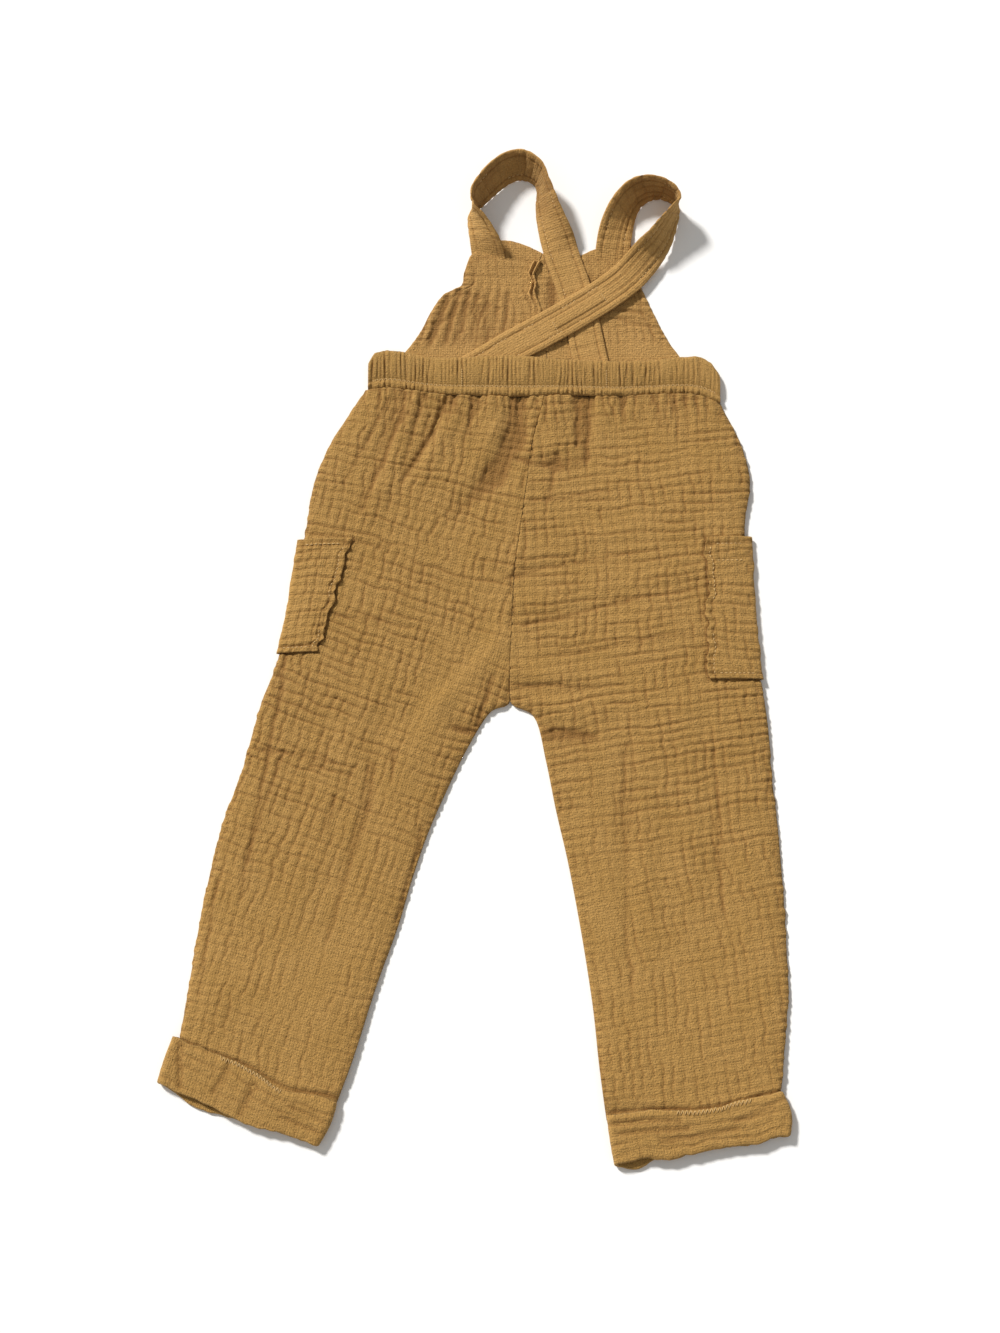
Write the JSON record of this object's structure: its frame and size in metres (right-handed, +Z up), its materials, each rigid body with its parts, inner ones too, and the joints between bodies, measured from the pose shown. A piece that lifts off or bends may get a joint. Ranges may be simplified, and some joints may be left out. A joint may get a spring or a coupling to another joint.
{
  "type": "kids dungarees",
  "caption": "Toddler dungarees in crinkled double gauze, laid flat front down, with crossed back straps, elastic waistband, side patch pockets and turned-up hems.",
  "frame": {"origin": "middle of the laid-out garment's bounding box, on the surface it lies on", "axes": "+Z up from the surface, out of the garment's back; +Y from the hems to the shoulder straps; +X to the wearer's right"},
  "size_m": [0.4266, 0.7192, 0.0249],
  "materials": {
    "double_gauze": "matt crinkled cotton double gauze, mustard, slightly fuzzy"
  },
  "bodies": {
    "root": {"front_leg_left": "double_gauze", "front_leg_right": "double_gauze", "back_leg_left": "double_gauze", "back_leg_right": "double_gauze", "pocket_left": "double_gauze", "pocket_right": "double_gauze", "cuff_left": "double_gauze", "cuff_right": "double_gauze", "front_waistband": "double_gauze", "back_waistband": "double_gauze", "bib_left": "double_gauze", "bib_right": "double_gauze", "bib_centre_seam": "double_gauze", "strap_left": "double_gauze", "strap_right": "double_gauze"}
  },
  "joints": []
}
